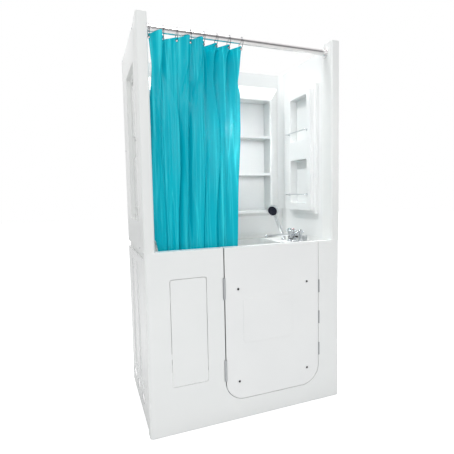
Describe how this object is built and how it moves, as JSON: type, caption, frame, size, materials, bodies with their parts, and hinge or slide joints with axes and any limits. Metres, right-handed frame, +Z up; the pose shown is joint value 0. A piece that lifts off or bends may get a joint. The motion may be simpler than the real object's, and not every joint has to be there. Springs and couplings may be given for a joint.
{
  "type": "walk-in bath with shower surround",
  "caption": "Walk-in bath with an outward-opening front door, a moulded seat and foot well, a three-wall shower surround with niches and shelves, deck taps and a curtain.",
  "frame": {"origin": "on the floor under the middle of the whole piece", "axes": "+X to the right as seen from the front, +Y to the back wall, +Z up"},
  "size_m": [1.223, 0.727, 2.24],
  "materials": {
    "acrylic": "gloss",
    "door_acrylic": "gloss",
    "wall_acrylic": "gloss",
    "cover_acrylic": "gloss",
    "sealant": "satin",
    "seal_rubber": "matte",
    "cap_white": "satin",
    "cap_black": "satin",
    "frame_steel": "satin",
    "foot_plastic": "matte",
    "stainless": "brushed",
    "latch_chrome": "polished",
    "screw_steel": "satin",
    "chrome": "polished",
    "rail_chrome": "polished",
    "rod_chrome": "polished",
    "ring_chrome": "polished",
    "hand_chrome": "chromed gloss",
    "spray_black": "gloss",
    "cold_blue": "gloss",
    "hot_red": "gloss",
    "index_black": "gloss",
    "lever_black": "gloss",
    "knob_grey": "satin",
    "spare_cap": "gloss",
    "pipe_plastic": "satin",
    "curtain_vinyl": "glossy vinyl"
  },
  "bodies": {
    "cabin": {"tub_shell": "acrylic", "front_skirt": "acrylic", "side_panels": "acrylic", "door_frame": "acrylic", "left_wall_liner": "wall_acrylic", "right_wall_liner": "wall_acrylic", "back_wall": "wall_acrylic", "corner_trims": "wall_acrylic", "wall_covers": "cover_acrylic", "front_posts": "cover_acrylic", "wall_base_rails": "cover_acrylic", "wall_bead": "sealant", "support_frame": "frame_steel", "levelling_feet": "foot_plastic", "hinge_frame_leaves": "stainless", "latch_strikes": "stainless", "wall_screws": "screw_steel", "fitting_bases": "chrome", "valve_bodies": "chrome", "hand_shower_dock": "chrome", "overflow_cover": "chrome", "drain_body": "chrome", "niche_rails": "rail_chrome", "curtain_rod": "rod_chrome", "rod_flanges": "rod_chrome", "deck_cap": "spare_cap", "waste_pipe": "pipe_plastic", "shower_curtain": "curtain_vinyl"},
    "door": {"door_outer_panel": "door_acrylic", "door_inner_panel": "door_acrylic", "door_seal": "seal_rubber", "door_cap_rings": "cap_white", "door_cap_plugs": "cap_black", "hinge_door_leaves": "stainless", "latch_rosette": "latch_chrome"},
    "latch_lever": {"latch_handle": "latch_chrome"},
    "latch_hooks": {"latch_bar": "stainless"},
    "access_cover": {"access_panel": "acrylic"},
    "cold_tap": {"cold_handle": "chrome", "cold_index": "cold_blue"},
    "hot_tap": {"hot_handle": "chrome", "hot_index": "hot_red"},
    "diverter_tap": {"diverter_handle": "chrome", "diverter_index": "index_black"},
    "spout_arm": {"spout": "chrome"},
    "flow_control": {"flow_knob": "chrome", "flow_lever": "lever_black"},
    "hand_spray": {"hand_shower": "hand_chrome", "hand_shower_face": "spray_black"},
    "drain_control": {"drain_control_knob": "knob_grey"},
    "drain_valve": {"drain_plug": "chrome"},
    "ring_1": {"curtain_ring_1": "ring_chrome"},
    "ring_2": {"curtain_ring_2": "ring_chrome"},
    "ring_3": {"curtain_ring_3": "ring_chrome"},
    "ring_4": {"curtain_ring_4": "ring_chrome"},
    "ring_5": {"curtain_ring_5": "ring_chrome"},
    "ring_6": {"curtain_ring_6": "ring_chrome"},
    "ring_7": {"curtain_ring_7": "ring_chrome"},
    "ring_8": {"curtain_ring_8": "ring_chrome"}
  },
  "joints": [
    {"name": "door_swing", "type": "hinge", "parent": "cabin", "child": "door", "pos_m": [-0.1715, -0.3565, 0.548], "axis": [0, 0, -1], "range_deg": [0, 110]},
    {"name": "latch_turn", "type": "hinge", "parent": "door", "child": "latch_lever", "pos_m": [0.325, -0.3, 0.5601], "axis": [0, -1, 0], "range_deg": [0, 90]},
    {"name": "latch_lift", "type": "slide", "parent": "door", "child": "latch_hooks", "axis": [0, 0, 1], "range_m": [0, 0.03]},
    {"name": "access_off", "type": "slide", "parent": "cabin", "child": "access_cover", "axis": [0, -1, 0], "range_m": [0, 0.25]},
    {"name": "cold_turn", "type": "hinge", "parent": "cabin", "child": "cold_tap", "pos_m": [0.49, 0.0585, 1.05], "axis": [0, 0, 1], "range_deg": [0, 90]},
    {"name": "hot_turn", "type": "hinge", "parent": "cabin", "child": "hot_tap", "pos_m": [0.49, 0.0085, 1.05], "axis": [0, 0, 1], "range_deg": [0, 90]},
    {"name": "diverter_turn", "type": "hinge", "parent": "cabin", "child": "diverter_tap", "pos_m": [0.49, -0.0885, 1.05], "axis": [0, 0, 1], "range_deg": [0, 90]},
    {"name": "spout_swivel", "type": "hinge", "parent": "cabin", "child": "spout_arm", "pos_m": [0.49, -0.0345, 1.033], "axis": [0, 0, 1], "range_deg": [-55, 55]},
    {"name": "flow_turn", "type": "hinge", "parent": "cabin", "child": "flow_control", "pos_m": [0.47352, -0.05098, 1.001], "axis": [0.7071, 0.7071, 0], "range_deg": [0, 25]},
    {"name": "hand_spray_lift", "type": "slide", "parent": "cabin", "child": "hand_spray", "axis": [-0.3746, 0, 0.9272], "range_m": [0, 0.15]},
    {"name": "drain_turn", "type": "hinge", "parent": "cabin", "child": "drain_control", "pos_m": [0.49, -0.1435, 1.02], "axis": [0, 0, 1], "range_deg": [0, 90]},
    {"name": "drain_lift", "type": "slide", "parent": "cabin", "child": "drain_valve", "axis": [0, 0, 1], "range_m": [0, 0.012]},
    {"name": "ring_1_slide", "type": "slide", "parent": "cabin", "child": "ring_1", "axis": [1, 0, 0], "range_m": [-0.0049, 0.0104]},
    {"name": "ring_2_slide", "type": "slide", "parent": "cabin", "child": "ring_2", "axis": [1, 0, 0], "range_m": [-0.0295, 0.0625]},
    {"name": "ring_3_slide", "type": "slide", "parent": "cabin", "child": "ring_3", "axis": [1, 0, 0], "range_m": [-0.0688, 0.1458]},
    {"name": "ring_4_slide", "type": "slide", "parent": "cabin", "child": "ring_4", "axis": [1, 0, 0], "range_m": [-0.1161, 0.246]},
    {"name": "ring_5_slide", "type": "slide", "parent": "cabin", "child": "ring_5", "axis": [1, 0, 0], "range_m": [-0.1646, 0.3488]},
    {"name": "ring_6_slide", "type": "slide", "parent": "cabin", "child": "ring_6", "axis": [1, 0, 0], "range_m": [-0.2076, 0.44]},
    {"name": "ring_7_slide", "type": "slide", "parent": "cabin", "child": "ring_7", "axis": [1, 0, 0], "range_m": [-0.2383, 0.5051]},
    {"name": "curtain_draw", "type": "slide", "parent": "cabin", "child": "ring_8", "axis": [1, 0, 0], "range_m": [-0.25, 0.53], "deforming": ["shower_curtain"]}
  ],
  "couplings": [
    {"joint": "latch_lift", "follows": "latch_turn", "m_per_rad": 0.019099},
    {"joint": "drain_lift", "follows": "drain_turn", "m_per_rad": 0.0076394},
    {"joint": "ring_1_slide", "follows": "curtain_draw", "ratio": 0.01952},
    {"joint": "ring_2_slide", "follows": "curtain_draw", "ratio": 0.11779},
    {"joint": "ring_3_slide", "follows": "curtain_draw", "ratio": 0.27495},
    {"joint": "ring_4_slide", "follows": "curtain_draw", "ratio": 0.46403},
    {"joint": "ring_5_slide", "follows": "curtain_draw", "ratio": 0.65805},
    {"joint": "ring_6_slide", "follows": "curtain_draw", "ratio": 0.83004},
    {"joint": "ring_7_slide", "follows": "curtain_draw", "ratio": 0.95301}
  ]
}
